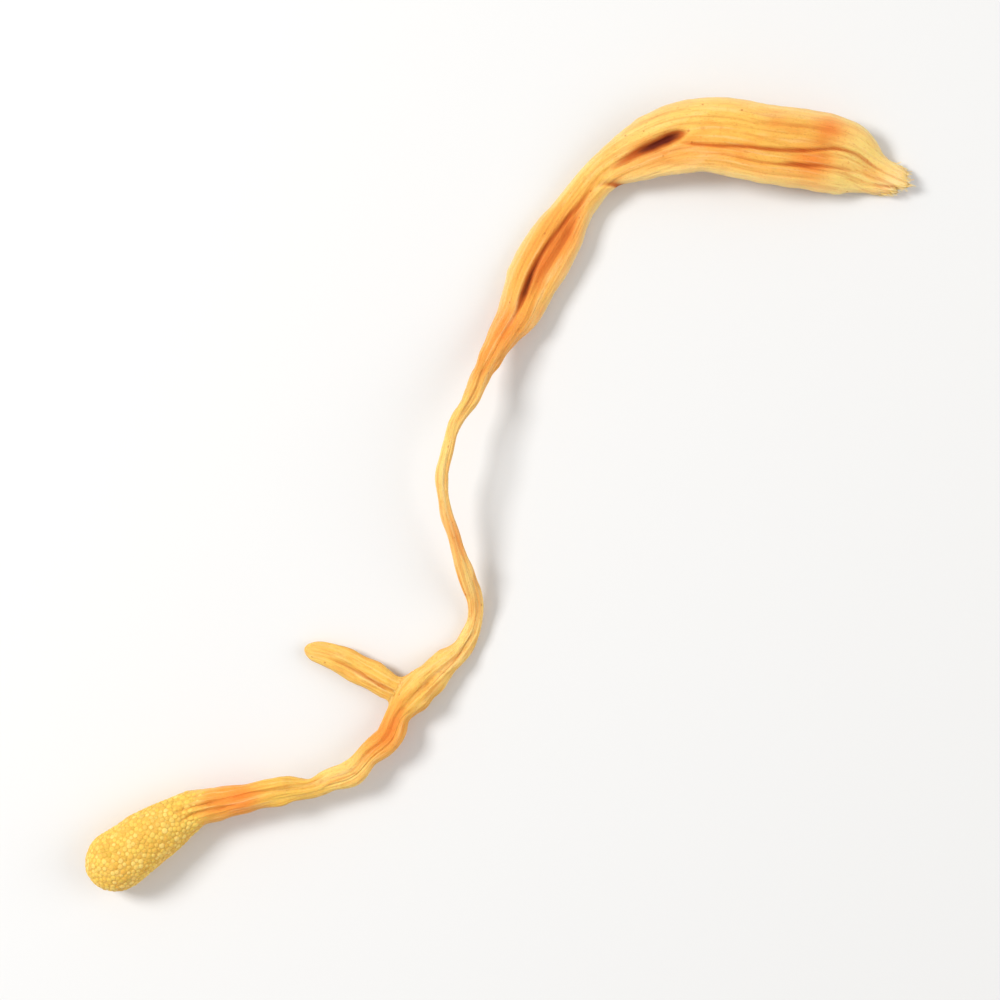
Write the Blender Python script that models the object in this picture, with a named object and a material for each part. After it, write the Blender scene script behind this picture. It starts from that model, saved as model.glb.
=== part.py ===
"""One dried cordyceps fruiting body, lying on a table with +Z up.

From its rounded club head a thin stem winds through a knot with a short side shoot, thins to a
waist and widens into a flat, furrowed ribbon that ends in a torn base. It grew as one piece, so it
is one solid. The driving sizes below are millimetres and degrees; the mesh is in metres.
"""

import math

import bmesh
import bpy
import numpy as np
from mathutils import Vector

MM = 0.001

# The route and girth of the body as it lies, seen from above, with the club's tip near (0, 0):
# x, y, width, thickness, and how far its underside stands off the table. A negative stand-off
# presses that stretch flat against the table.
BODY = (
    (0.33, -0.4, 3.7, 3.1, -0.02),
    (2.49, 1.06, 3.63, 3.4, -0.12),
    (4.69, 2.61, 3.18, 3.0, -0.06),
    (6.63, 3.77, 2.33, 2.3, 0.4),
    (8.62, 4.27, 2.0, 1.75, 0.95),
    (10.6, 4.75, 1.64, 1.5, 1.25),
    (12.21, 4.99, 1.72, 1.35, 1.3),
    (13.8, 5.15, 1.24, 1.1, 1.2),
    (15.09, 5.63, 1.5, 1.35, 1.0),
    (16.29, 6.07, 1.52, 1.25, 0.9),
    (17.35, 7.15, 1.55, 1.25, 0.75),
    (18.56, 8.26, 1.75, 1.4, 0.6),
    (19.03, 9.44, 1.53, 1.35, 0.45),
    (19.9, 10.6, 2.2, 1.8, 0.25),
    (21.28, 12.02, 1.93, 1.5, 0.1),
    (22.61, 13.2, 1.46, 1.35, -0.07),
    (23.43, 14.28, 1.22, 1.15, -0.06),
    (23.78, 15.4, 0.96, 0.95, 0.2),
    (23.74, 16.71, 1.08, 0.95, 0.65),
    (23.31, 18.0, 1.14, 1.0, 1.15),
    (22.62, 20.18, 0.84, 0.85, 2.0),
    (21.99, 22.17, 0.78, 0.8, 2.65),
    (21.81, 24.0, 0.74, 0.76, 3.05),
    (22.12, 25.67, 0.74, 0.76, 3.15),
    (22.61, 27.29, 0.78, 0.8, 2.9),
    (23.52, 28.84, 0.98, 0.9, 2.4),
    (24.32, 30.59, 1.25, 1.05, 1.75),
    (25.18, 32.21, 1.75, 1.25, 1.05),
    (26.29, 33.87, 2.5, 1.45, 0.5),
    (27.43, 36.4, 3.3, 1.55, 0.02),
    (28.76, 38.67, 3.25, 1.6, -0.08),
    (30.08, 40.86, 2.3, 1.6, -0.02),
    (31.73, 42.7, 2.37, 1.55, 0.45),
    (33.81, 43.84, 3.5, 1.5, 1.05),
    (36.14, 44.62, 4.3, 1.45, 1.6),
    (38.7, 44.73, 4.65, 1.4, 1.85),
    (41.39, 44.27, 4.8, 1.4, 1.7),
    (44.02, 43.98, 4.88, 1.35, 1.2),
    (46.63, 43.44, 4.42, 1.3, 0.5),
    (48.27, 42.67, 2.67, 1.15, -0.05),
    (49.56, 42.13, 1.95, 0.95, -0.05),
)
# The side shoot, from inside the knot to its blunt tip, in the same terms.
SHOOT = (
    (20.3, 10.5, 1.3, 1.1, 0.4),
    (18.9, 11.1, 1.6, 1.2, 0.38),
    (17.4, 11.9, 1.85, 1.2, 0.3),
    (15.9, 12.7, 1.8, 1.1, 0.2),
    (14.5, 13.25, 1.45, 1.0, 0.12),
    (13.3, 13.5, 1.1, 0.85, 0.1),
)
# What changes along the body, as (distance from the club's tip, value): how far the section leans
# over, in degrees, and the power of its outline, from 2 for an ellipse up for a squarer one.
TWIST = ((0, 0), (10, 8), (20, -12), (29, 10), (38, 30), (46, 14), (54, -6), (62, 0), (72, 5), (80, 3))
SQUARENESS = ((0, 2.0), (14, 2.1), (44, 2.1), (52, 2.5), (80, 2.6))
# Folds where the hollow flesh fell in as it dried: places across the width at distances along the
# body, from -1 at the right-hand edge to 1 at the left; depths there, as a share of the thickness;
# and the half-width of the fold.
STEM_FOLD = (
    ((9, 0.35), (16, 0.1), (24, -0.1), (30, -0.15), (38, 0.0), (46, 0.15)),
    ((9, 0.0), (12, 0.15), (24, 0.22), (34, 0.12), (44, 0.18), (47, 0.0)),
    0.3,
)
WIDENING_FOLD = (
    ((46.5, 0.1), (51.5, 0.1), (53.5, 0.14), (56, 0.0), (57.5, -0.2), (59, -0.08), (61.5, 0.04)),
    ((46.5, 0.0), (49, 0.3), (52, 0.42), (55, 0.36), (57.5, 0.26), (60, 0.22), (62, 0.0)),
    0.34,
)
BESIDE_IT = (
    ((51, -0.2), (53.5, -0.28), (57, -0.42)),
    ((50.5, 0.0), (53, 0.24), (55.5, 0.24), (57.5, 0.0)),
    0.3,
)
SLIT = (
    ((61, 0.03), (63.2, 0.07), (65.2, 0.14)),
    ((60.8, 0.0), (62.3, 0.6), (63.2, 0.72), (64.2, 0.7), (65.2, 0.0)),
    0.28,
)
RIBBON_FOLD = (
    ((64.6, -0.15), (65.4, -0.22), (67, -0.27), (69.4, -0.16), (72.6, -0.04), (74.2, 0.13), (79, 0.24)),
    ((64.3, 0.0), (65.6, 0.28), (70, 0.32), (75, 0.28), (77.5, 0.16), (79, 0.12)),
    0.32,
)
LOWER_LOBE_FOLD = (
    ((65, -0.5), (68.5, -0.49), (71, -0.47), (72.6, -0.4), (74.2, -0.33), (77, -0.27)),
    ((64.8, 0.0), (66.5, 0.15), (69, 0.18), (72.8, 0.26), (75, 0.22), (77.2, 0.0)),
    0.3,
)
FOLDS = (STEM_FOLD, WIDENING_FOLD, BESIDE_IT, SLIT, RIBBON_FOLD, LOWER_LOBE_FOLD)
UNDERSIDE_SHARE = 0.45
# Low lumps on the club head.
LUMP_HEIGHT = 0.07
LUMP_PITCH = 1.3
LUMPS_AROUND = 7
LUMP_WANDER = 2.0
HEAD_LENGTH = 8.0
HEAD_FADE = 1.5
# The torn end: how far its fibres reach past the last station, across the width.
TEAR = ((-1.0, 0.0), (-0.7, 0.25), (-0.5, 0.2), (-0.25, 1.1), (0.0, 0.5), (0.25, 1.3), (0.45, 0.6),
        (0.72, 0.85), (1.0, 0.0))
TEAR_HOLLOW = 0.35

HEAD_CAP = 2.1
SHOOT_CAP = 0.8
RING_PITCH = 0.92
CAP_RINGS = 6
SIDES = 44
SHOOT_SIDES = 14
# How far ahead and behind the route is looked at for its direction.
LOOK = 0.05
# Laid with the line from the club head to the base along +X.
LAY_TURN = math.radians(-43.0)

FLESH_COLOUR = (0.80, 0.38, 0.08, 1.0)
FLESH_ROUGHNESS = 0.55


def clear_scene():
    for thing in list(bpy.data.objects):
        bpy.data.objects.remove(thing, do_unlink=True)


def blend(places, values, at):
    """A smooth curve through (place, value) pairs, read at the distances asked for."""
    places, values = np.asarray(places, float), np.asarray(values, float)
    slope = np.gradient(values, places)
    left = np.clip(np.searchsorted(places, at) - 1, 0, len(places) - 2)
    gap = places[left + 1] - places[left]
    t = np.clip((at - places[left]) / gap, 0.0, 1.0)
    start = (1 + 2 * t) * (1 - t) ** 2 * values[left] + t * (1 - t) ** 2 * gap * slope[left]
    finish = t * t * (3 - 2 * t) * values[left + 1] - t * t * (1 - t) * gap * slope[left + 1]
    return start + finish


def along(pairs, at):
    """A column of values, one for each ring."""
    return blend(*zip(*pairs), at)[:, None]


def distances(stations):
    """How far along the route each station is."""
    plan = np.array([station[:2] for station in stations])
    return np.r_[0.0, np.cumsum(np.hypot(*np.diff(plan, axis=0).T))]


def route(stations, at):
    """Centre, direction to the left, width, thickness and stand-off, as columns."""
    places = distances(stations)
    columns = list(zip(*stations))
    ahead, behind = np.clip(at + LOOK, 0, places[-1]), np.clip(at - LOOK, 0, places[-1])
    forward = [blend(places, c, ahead) - blend(places, c, behind) for c in columns[:2]]
    size = np.hypot(*forward)
    x, y, width, thickness, lift = (blend(places, c, at)[:, None] for c in columns)
    left = (-forward[1] / size)[:, None], (forward[0] / size)[:, None]
    return (x, y), left, width, thickness, lift


def ring_distances(length, cap, pitch):
    """Rings close together where the rounded cap turns in, and evenly spaced after it."""
    turns = np.linspace(0, math.pi / 2, CAP_RINGS + 1)[1:]
    rounded = cap * (1 - np.cos(turns))
    even = np.linspace(cap, length, round((length - cap) / pitch) + 1)[1:]
    return np.r_[rounded, even]


def rounding(at, cap):
    """The share of its full size that each ring has near the rounded tip."""
    return np.sqrt(1 - (1 - np.clip(at / cap, 0, 1)) ** 2)[:, None]


def folded(across, at, half_width):
    """The share of the half-thickness that the folds take away."""
    lost = 0.0
    for places, depths, fold_half_width in FOLDS:
        off = (across - along(places, at)) * half_width / fold_half_width
        lost = lost + np.interp(at, *zip(*depths))[:, None] * np.exp(-(off**2))
    return lost


def lumps(angle, at):
    """Low rounded lumps, staggered from ring to ring, that fade out at the neck."""
    fade = np.clip((HEAD_LENGTH - at) / HEAD_FADE, 0, 1)
    around = np.cos(LUMPS_AROUND * angle + LUMP_WANDER * np.sin(at))
    return LUMP_HEIGHT * fade * np.cos(2 * math.pi * at / LUMP_PITCH) * around


def tip_point(stations):
    """The middle of the first section, where the rounded cap closes."""
    x, y, _, thickness, lift = stations[0]
    return np.array([x, y, lift + thickness / 2])


def body_points(at, angle):
    """Points on the body for rings at these distances: an array of ring by side by (x, y, z)."""
    centre, left, width, thickness, lift = route(BODY, at)
    square, turn = along(SQUARENESS, at), np.radians(along(TWIST, at))
    across, up = np.cos(angle)[None, :], np.sin(angle)[None, :]
    outline = (1 - np.abs(across) ** square) ** (1 / square)
    share = np.where(up >= 0, 1.0, UNDERSIDE_SHARE)
    up = np.sign(up) * outline * (1 - share * folded(across, at, width / 2))
    round_off = rounding(at, HEAD_CAP)
    swell = round_off * (1 + lumps(angle[None, :], at[:, None]) / (thickness / 2))
    across, up = across * width / 2 * swell, up * thickness / 2 * swell
    side = across * np.cos(turn) - up * np.sin(turn)
    height = across * np.sin(turn) + up * np.cos(turn)
    # The rounded tip keeps the height of its full section's middle.
    height += lift - height.min(axis=1, keepdims=True) / round_off
    return np.stack([centre[0] + side * left[0], centre[1] + side * left[1], height], axis=-1)


def shoot_points(at, angle):
    """The same for the side shoot, whose rings run from its blunt tip back into the knot."""
    centre, left, width, thickness, lift = route(SHOOT[::-1], at)
    round_off = rounding(at, SHOOT_CAP)
    side = np.cos(angle)[None, :] * width / 2 * round_off
    height = np.sin(angle)[None, :] * thickness / 2 * round_off + lift + thickness / 2
    return np.stack([centre[0] + side * left[0], centre[1] + side * left[1], height], axis=-1)


def tear_end(points, angle):
    """Draw the last ring out into torn fibres, and return the hollow point that closes them."""
    last, before = points[-1], points[-2]
    forward = (last - before).mean(axis=0)
    forward[2] = 0.0
    forward /= np.linalg.norm(forward)
    reach = np.interp(np.cos(angle), *zip(*TEAR))
    points[-1] = last + forward * reach[:, None]
    return last.mean(axis=0) - forward * TEAR_HOLLOW


def lay_down(points, centre=(0.0, 0.0)):
    """Turn the plan so that the body runs along +X, and press what would sink flat to the table."""
    c, s = math.cos(LAY_TURN), math.sin(LAY_TURN)
    x = points[..., 0] * c - points[..., 1] * s - centre[0]
    y = points[..., 0] * s + points[..., 1] * c - centre[1]
    return np.stack([x, y, np.maximum(points[..., 2], 0.0)], axis=-1)


def loft(name, tip, rings, end):
    """A closed mesh object through rings of points in millimetres, with a point at either end."""
    bm = bmesh.new()
    first = bm.verts.new(Vector(tip) * MM)
    loops = [[bm.verts.new(Vector(point) * MM) for point in ring] for ring in rings]
    last = bm.verts.new(Vector(end) * MM)
    count = len(loops[0])
    for i in range(count):
        j = (i + 1) % count
        bm.faces.new((first, loops[0][i], loops[0][j]))
        bm.faces.new((last, loops[-1][j], loops[-1][i]))
        for near, far in zip(loops, loops[1:]):
            bm.faces.new((near[i], far[i], far[j], near[j]))
    bmesh.ops.recalc_face_normals(bm, faces=bm.faces)
    mesh = bpy.data.meshes.new(name)
    bm.to_mesh(mesh)
    bm.free()
    mesh.shade_smooth()
    thing = bpy.data.objects.new(name, mesh)
    bpy.context.collection.objects.link(thing)
    return thing


def dried_flesh():
    """Leathery golden-orange flesh."""
    material = bpy.data.materials.new("dried_fungus")
    material.use_nodes = True
    shader = material.node_tree.nodes["Principled BSDF"]
    shader.inputs["Base Color"].default_value = FLESH_COLOUR
    shader.inputs["Roughness"].default_value = FLESH_ROUGHNESS
    shader.inputs["Metallic"].default_value = 0.0
    return material


def angles(count):
    """Evenly spaced angles round a section, from its left-hand edge over the top."""
    return np.linspace(0, 2 * math.pi, count, endpoint=False)


def make_fruiting_body():
    angle = angles(SIDES)
    rings = body_points(ring_distances(distances(BODY)[-1], HEAD_CAP, RING_PITCH), angle)
    end = tear_end(rings, angle)
    plan = lay_down(rings)
    centre = ((plan.min(axis=(0, 1)) + plan.max(axis=(0, 1))) / 2)[:2]
    tip = lay_down(tip_point(BODY), centre)
    body = loft("fruiting_body", tip, lay_down(rings, centre), lay_down(end, centre))
    body.data.materials.append(dried_flesh())
    return body, centre


def make_side_shoot(centre):
    angle = angles(SHOOT_SIDES)
    rings = shoot_points(ring_distances(distances(SHOOT)[-1], SHOOT_CAP, RING_PITCH), angle)
    tip = lay_down(tip_point(SHOOT[::-1]), centre)
    end = lay_down(rings[-1].mean(axis=0), centre)
    shoot = loft("side_shoot", tip, lay_down(rings, centre), end)
    shoot.hide_render = True
    shoot.display_type = "WIRE"
    return shoot


def join(body, shoot):
    """Fuse the side shoot into the body."""
    union = body.modifiers.new("grown_together", "BOOLEAN")
    union.operation = "UNION"
    union.solver = "EXACT"
    union.object = shoot


clear_scene()
fruiting_body, plan_centre = make_fruiting_body()
join(fruiting_body, make_side_shoot(plan_centre))
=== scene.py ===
"""A dried cordyceps fruiting body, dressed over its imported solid.

The flesh is lofted again along the route of the solid, this time finely enough to carry its folds,
wrinkles and torn base as real surface. The grains of the club head and the frayed fibres of the
base follow that surface. Lengths are millimetres until a mesh is made.
"""

import itertools
import math

import bpy
import numpy as np
from mathutils import Matrix, Vector
from mathutils.kdtree import KDTree


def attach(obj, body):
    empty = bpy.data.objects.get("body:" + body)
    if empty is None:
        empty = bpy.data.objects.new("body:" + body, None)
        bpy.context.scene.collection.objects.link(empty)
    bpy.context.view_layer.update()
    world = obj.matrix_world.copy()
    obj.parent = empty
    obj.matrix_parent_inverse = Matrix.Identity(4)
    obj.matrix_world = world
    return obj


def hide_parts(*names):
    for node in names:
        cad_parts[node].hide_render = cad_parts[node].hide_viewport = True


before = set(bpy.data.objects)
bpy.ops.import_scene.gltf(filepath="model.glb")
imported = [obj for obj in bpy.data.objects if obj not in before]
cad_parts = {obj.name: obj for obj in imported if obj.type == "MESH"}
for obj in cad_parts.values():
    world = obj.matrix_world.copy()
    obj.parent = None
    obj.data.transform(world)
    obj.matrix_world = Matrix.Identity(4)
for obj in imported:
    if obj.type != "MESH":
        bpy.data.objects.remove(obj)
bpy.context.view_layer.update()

MM = 0.001

# The route

# The route and girth of the body as it lies, seen from above, with the club's tip near (0, 0):
# x, y, width, thickness, and how far its underside stands off the table. A negative stand-off
# presses that stretch flat against the table.
BODY = (
    (0.33, -0.4, 3.7, 3.1, -0.02),
    (2.49, 1.06, 3.63, 3.4, -0.12),
    (4.69, 2.61, 3.18, 3.0, -0.06),
    (6.63, 3.77, 2.33, 2.3, 0.4),
    (8.62, 4.27, 2.0, 1.75, 0.95),
    (10.6, 4.75, 1.64, 1.5, 1.25),
    (12.21, 4.99, 1.72, 1.35, 1.3),
    (13.8, 5.15, 1.24, 1.1, 1.2),
    (15.09, 5.63, 1.5, 1.35, 1.0),
    (16.29, 6.07, 1.52, 1.25, 0.9),
    (17.35, 7.15, 1.55, 1.25, 0.75),
    (18.56, 8.26, 1.75, 1.4, 0.6),
    (19.03, 9.44, 1.53, 1.35, 0.45),
    (19.9, 10.6, 2.2, 1.8, 0.25),
    (21.28, 12.02, 1.93, 1.5, 0.1),
    (22.61, 13.2, 1.46, 1.35, -0.07),
    (23.43, 14.28, 1.22, 1.15, -0.06),
    (23.78, 15.4, 0.96, 0.95, 0.2),
    (23.74, 16.71, 1.08, 0.95, 0.65),
    (23.31, 18.0, 1.14, 1.0, 1.15),
    (22.62, 20.18, 0.84, 0.85, 2.0),
    (21.99, 22.17, 0.78, 0.8, 2.65),
    (21.81, 24.0, 0.74, 0.76, 3.05),
    (22.12, 25.67, 0.74, 0.76, 3.15),
    (22.61, 27.29, 0.78, 0.8, 2.9),
    (23.52, 28.84, 0.98, 0.9, 2.4),
    (24.32, 30.59, 1.25, 1.05, 1.75),
    (25.18, 32.21, 1.75, 1.25, 1.05),
    (26.29, 33.87, 2.5, 1.45, 0.5),
    (27.43, 36.4, 3.3, 1.55, 0.02),
    (28.76, 38.67, 3.25, 1.6, -0.08),
    (30.08, 40.86, 2.3, 1.6, -0.02),
    (31.73, 42.7, 2.37, 1.55, 0.45),
    (33.81, 43.84, 3.5, 1.5, 1.05),
    (36.14, 44.62, 4.3, 1.45, 1.6),
    (38.7, 44.73, 4.65, 1.4, 1.85),
    (41.39, 44.27, 4.8, 1.4, 1.7),
    (44.02, 43.98, 4.88, 1.35, 1.2),
    (46.63, 43.44, 4.42, 1.3, 0.5),
    (48.27, 42.67, 2.67, 1.15, -0.05),
    (49.56, 42.13, 1.95, 0.95, -0.05),
)
# The side shoot, from its blunt tip to inside the knot, in the same terms.
SHOOT = (
    (13.3, 13.5, 1.1, 0.85, 0.1),
    (14.5, 13.25, 1.45, 1.0, 0.12),
    (15.9, 12.7, 1.8, 1.1, 0.2),
    (17.4, 11.9, 1.85, 1.2, 0.3),
    (18.9, 11.1, 1.6, 1.2, 0.38),
    (20.3, 10.5, 1.3, 1.1, 0.4),
)
# What changes along the body, as (distance from the club's tip, value): how far the section leans
# over, in degrees, and the power of its outline, from 2 for an ellipse up for a squarer one.
TWIST = ((0, 0), (10, 8), (20, -12), (29, 10), (38, 30), (46, 14), (54, -6), (62, 0), (72, 5),
         (80, 3))
SQUARENESS = ((0, 2.0), (14, 2.1), (44, 2.1), (52, 2.5), (80, 2.6))
SHOOT_SQUARENESS = 2.0

# How far the rounded tips of the head and the shoot reach.
HEAD_CAP, SHOOT_CAP = 2.1, 0.8
# Where the smooth head gives way to the stem, and the stem to the ribbon.
NECK, RIBBON_START = (5.6, 8.4), (47.0, 54.0)

# The mesh: rings in a cap and their pitch after it, points round the body and the shoot, and the
# steps that space those points.
CAP_RINGS, RING_PITCH = 22, 0.14
SIDES, SHOOT_SIDES = 128, 56
OUTLINE_STEPS = 1440
# How far ahead and behind the route's direction is taken.
LOOK = 0.05

# How the plan is turned, and the middle of the solid's plan after the turn, which is the origin.
LAY_TURN = math.radians(-43.0)
PLAN_CENTRE = (32.97119792, 1.63353565)

# Where along the body the side shoot leaves it. Its own places count on from there, so that fibres
# run on from the knot, and its colour changes by a share of that distance.
SHOOT_FROM, SHOOT_STAIN = 23.4, 0.1
# How strong its wrinkles are, and how pale its tip is and how far.
SHOOT_RELIEF, SHOOT_PALE, SHOOT_PALE_REACH = 0.75, 0.35, 2.5
# The seam where it joins the body: its reach from both, and how often it is eased.
SEAM_REACH, SEAM_ROUNDS = 0.55, 30
# Half the width and half the height of a section as it grew, where the dried one's are 1 mm.
GROWN_SIDE, GROWN_RISE = 1.5, 1.2

# Folds, pits and colours along the body

# Folds where the hollow flesh fell in as it dried: places across the width at distances along the
# body, from -1 at the right-hand edge to 1 at the left; the share of the half-thickness lost there;
# half-width; how steep the walls are, 2 for a soft dip or more; and how much shade is painted on
# the floor, 0 for plain flesh, 1 for rust and 2 for nearly black.
FOLDS = (
    # Two short ones on the neck, and the long one of the stem.
    (((6.4, 0.42), (8, 0.34), (9.8, 0.28)),
     ((6.2, 0), (7.2, 0.14), (8.8, 0.16), (10, 0)), 0.13, 2, 0.5),
    (((6.8, -0.02), (8.4, -0.06), (10.2, -0.16)),
     ((6.6, 0), (7.6, 0.13), (9.4, 0.15), (10.6, 0)), 0.12, 2, 0.45),
    (((9, 0.35), (16, 0.1), (24, -0.1), (30, -0.15), (38, 0), (46, 0.15)),
     ((9, 0), (12, 0.2), (24, 0.26), (30, 0.14), (36, 0.08), (41, 0.1), (44, 0.2), (47, 0)),
     0.17, 2, 0.45),
    # The deep one of the widening, a shallow one beside it, and the wide hollow between them.
    (((46.5, 0.1), (51.5, 0.1), (53.5, 0.14), (56, 0), (57.5, -0.2), (59, -0.08), (61.5, 0.04)),
     ((47.5, 0), (49.5, 0.16), (51, 0.4), (52.2, 0.36), (53.5, 0.26), (57, 0.16), (60, 0.12),
      (62, 0)), 0.18, 2.6, 1.25),
    (((51, -0.2), (53.5, -0.28), (57, -0.42)),
     ((50.5, 0), (53, 0.1), (55.5, 0.12), (57.5, 0)), 0.16, 2, 0.3),
    (((49, 0), (53.5, -0.14), (58, -0.2)),
     ((49.5, 0), (52, 0.2), (55.5, 0.22), (58.5, 0)), 0.62, 2.2, 0.55),
    # The slit between the ribbon's lobes, painted nearly black with shade, and the main fold that
    # runs on from it.
    (((60.1, -0.14), (61.2, -0.07), (62.2, -0.02), (63.6, 0.02), (65.6, 0.1)),
     ((60.1, 0), (61.1, 0.22), (62.2, 0.46), (63.2, 0.74), (64.1, 0.84), (64.8, 0.6), (65.5, 0)),
     0.34, 3.0, 2.0),
    (((64.6, -0.15), (65.4, -0.22), (67, -0.27), (69.4, -0.16), (72.6, -0.04), (74.2, 0.13),
      (79, 0.24)),
     ((64.3, 0), (65.6, 0.32), (70, 0.4), (75, 0.34), (77.5, 0.2), (79, 0.14)), 0.11, 2.4, 1.05),
    # Those of the lower and the upper lobe, and fine ones under the main fold and along the edge.
    (((65, -0.5), (68.5, -0.49), (71, -0.47), (72.6, -0.4), (74.2, -0.33), (77, -0.27)),
     ((65.5, 0), (67.5, 0.14), (69.5, 0.17), (72.8, 0.28), (75, 0.22), (77.2, 0)), 0.11, 2.2, 0.9),
    (((66, 0.44), (70, 0.5), (76, 0.56)),
     ((65.6, 0), (69, 0.1), (73, 0.13), (77, 0)), 0.12, 2, 0.4),
    (((66, -0.34), (69, -0.3), (72, -0.2), (75.5, 0), (78.4, 0.08)),
     ((65.8, 0), (67.5, 0.12), (71, 0.1), (74, 0.14), (77, 0.12), (78.4, 0)), 0.08, 2, 0.4),
    (((66.5, -0.72), (70, -0.74), (74, -0.66), (77.5, -0.5)),
     ((66.2, 0), (68.5, 0.12), (73, 0.12), (77.5, 0)), 0.1, 2, 0.35),
    # The notch in the lower edge where the ribbon starts, and the fold at the tear.
    (((59, -0.35), (59.5, -0.62), (60.1, -1.05)),
     ((58.6, 0), (59.3, 0.22), (60.1, 0.6), (60.7, 0)), 0.3, 2, 1.35),
    (((76.6, -0.75), (78.6, -0.28)),
     ((76.4, 0), (77.6, 0.22), (78.6, 0.4)), 0.11, 2, 0.9),
)
# The side shoot's own folds, at distances from its tip.
SHOOT_FOLDS = (
    (((1, -0.1), (4, -0.2), (8, -0.05)),
     ((0.9, 0), (2.4, 0.26), (5.5, 0.34), (8, 0.2)), 0.13, 2, 0.75),
    (((0.6, 0.35), (4, 0.42), (8, 0.4)),
     ((0.6, 0), (3, 0.16), (5, 0.08), (7, 0.2)), 0.11, 2, 0.4),
    (((2, -0.62), (5, -0.55), (8, -0.5)),
     ((1.8, 0), (3.5, 0.14), (7, 0.16), (8, 0.1)), 0.1, 2, 0.35),
)
# A fold's depth and its painted shade on the underside, as shares of what they are above, and its
# width at its ends, as a share of its full one.
UNDERSIDE_SHARE, UNDERSIDE_SHADE, FOLD_END = 0.45, 0.5, 0.35
# Its raised lips: how high, as a share of its depth, how far out and how wide, in half-widths.
LIP_SHARE, LIP_PLACE, LIP_WIDTH = 0.16, 1.9, 0.7

# The most shade that is painted on a place.
DARKEST_SHADE = 2

# Small pits on the upper face: distance, place across, and radius.
PITS = ((66.2, 0.17, 0.16), (67.3, 0.2, 0.13), (69.0, -0.33, 0.1), (17.6, -0.2, 0.1),
        (48.9, -0.45, 0.11))
# How deep a pit is, and how much shade is painted in it.
PIT_DEPTH, PIT_SHADE = 0.05, 0.5

# Where the flesh is flushed a deeper orange: distance, place across, reach along and across, and
# how strongly.
FLUSHES = (
    (10.5, 0.1, 1.3, 1.3, 0.85), (20.9, 0.1, 1.7, 1.0, 0.65), (35.0, 0.0, 1.5, 1.0, 0.5),
    (48.6, 0.3, 1.4, 0.7, 0.5), (53.0, -0.1, 1.6, 0.26, 0.75), (55.7, -0.3, 1.9, 0.42, 0.75),
    (62.5, -0.3, 2.2, 0.4, 0.35), (67.0, -0.4, 3.6, 0.4, 0.45), (70.4, 0.5, 1.0, 0.5, 0.25),
    (73.8, 0.62, 0.9, 0.3, 0.85), (73.0, -0.3, 1.3, 0.36, 0.8),
)
# Where the flesh is a paler yellow, in the same terms.
PALES = (
    (17.3, 0.2, 1.3, 0.9, 0.4), (27.2, 0.3, 1.4, 0.6, 0.25), (32.5, 0.3, 1.6, 0.6, 0.3),
    (40.0, 0.5, 3.2, 0.55, 0.5), (64.0, 0.6, 3.6, 0.3, 0.35), (70.8, -0.85, 1.8, 0.25, 0.4),
    (64.2, -0.8, 1.8, 0.25, 0.4), (75.2, -0.62, 1.5, 0.32, 1.0), (76.2, 0.6, 1.7, 0.4, 0.85),
)

# Relief, as layers of noise

# Swellings: height, size along and across, and seed.
GIRTH = ((0.05, (2.6, 1.3, 1.3), 1), (0.04, (1.1, 0.9, 0.9), 2))
KNOBS = ((0.13, (1.3, 1.5, 1.5), 17),)
DENTS = ((0.08, (2.4, 2.0, 2.0), 3), (0.03, (0.9, 0.9, 0.9), 4))
RIPPLES = ((0.035, (9.0, 0.42, 0.42), 10),)
SCALLOPS = ((0.07, (1.3, 9.0, 9.0), 13), (0.03, (0.5, 9.0, 9.0), 14))
# Creases: size along and across, seed and width; then the noise that breaks them off, by size and
# seed, and the values between which they fade in.
SHORT_LINES = (4.5, 0.34, 0.34), 7, 0.2
BENDING_LINES = ((7.0, 0.8, 0.8), 5, 0.1), ((5.0, 2.0, 2.0), 6), (-0.2, 0.3)
STRAIGHT_LINES = ((17.0, 0.62, 0.9), 15, 0.1), ((6.0, 1.2, 2.0), 16), (-0.25, 0.3)
CROSS_LINES = ((0.75, 1.6, 1.6), 8, 0.08), ((3.0, 1.5, 1.5), 9), (0.05, 0.4)
# How deep each kind is, and how much shade is painted down it. On the ribbon the long ones are
# shallower, and the cross ones fade by a share.
LONG_DEPTH, SHORT_DEPTH, CROSS_DEPTH = 0.07, 0.026, 0.028
LONG_SHADE, SHORT_SHADE, CROSS_SHADE = 0.36, 0.12, 0.22
RIBBON_SHALLOWER, RIBBON_FADES = 0.02, 0.75
# Half the girth from which the relief has its full height.
FULL_RELIEF = 0.6
# The thin rim of the ribbon: how close to the edge it keeps, as a power, and where it starts.
RIM_POWER, RIM_START = 6, (46.0, 52.0)
# Where the grains end, and how unevenly.
GRAINS_END, GRAINS_SWAY = (6.2, 8.7), ((0.5, (1.5, 1.1, 1.1), 31),)

# The torn end

# How far its fibres reach past the last station, across the width, and how ragged they are.
TEAR = ((-1.0, -0.35), (-0.72, -0.1), (-0.5, 0.35), (-0.2, 0.5), (0.1, 0.35), (0.35, 0.5),
        (0.6, 0.3), (0.8, 0.35), (1.0, 0.1))
TEAR_RAGGED = 0.34
TEAR_TEETH = ((1.0, (1.0, 0.5, 0.5), 21), (0.45, (1.0, 0.17, 0.17), 22))
# How far back they are drawn out and loose ones grow, and the rings that give their direction.
TEAR_RUN, TEAR_FRAYS, TEAR_LOOK = 1.3, 0.8, 9
# The hollow inside: rings, how much of one is left round the middle, its depth and slope, its
# uneven floor and how that changes from ring to ring.
TEAR_RINGS, TEAR_LEFT = 7, 0.7
TEAR_HOLLOW, TEAR_SLOPE = 0.5, 0.7
TEAR_FLOOR, TEAR_CHANGE = ((0.03, (0.3, 0.3, 0.3), 23),), 0.31
# How the fibres' reach draws its rings along: a share, its limits, and how soon it fades.
TEAR_DRAWS, TEAR_LIMITS, TEAR_FADE = 0.5, (-0.2, 0.4), 6
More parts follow.
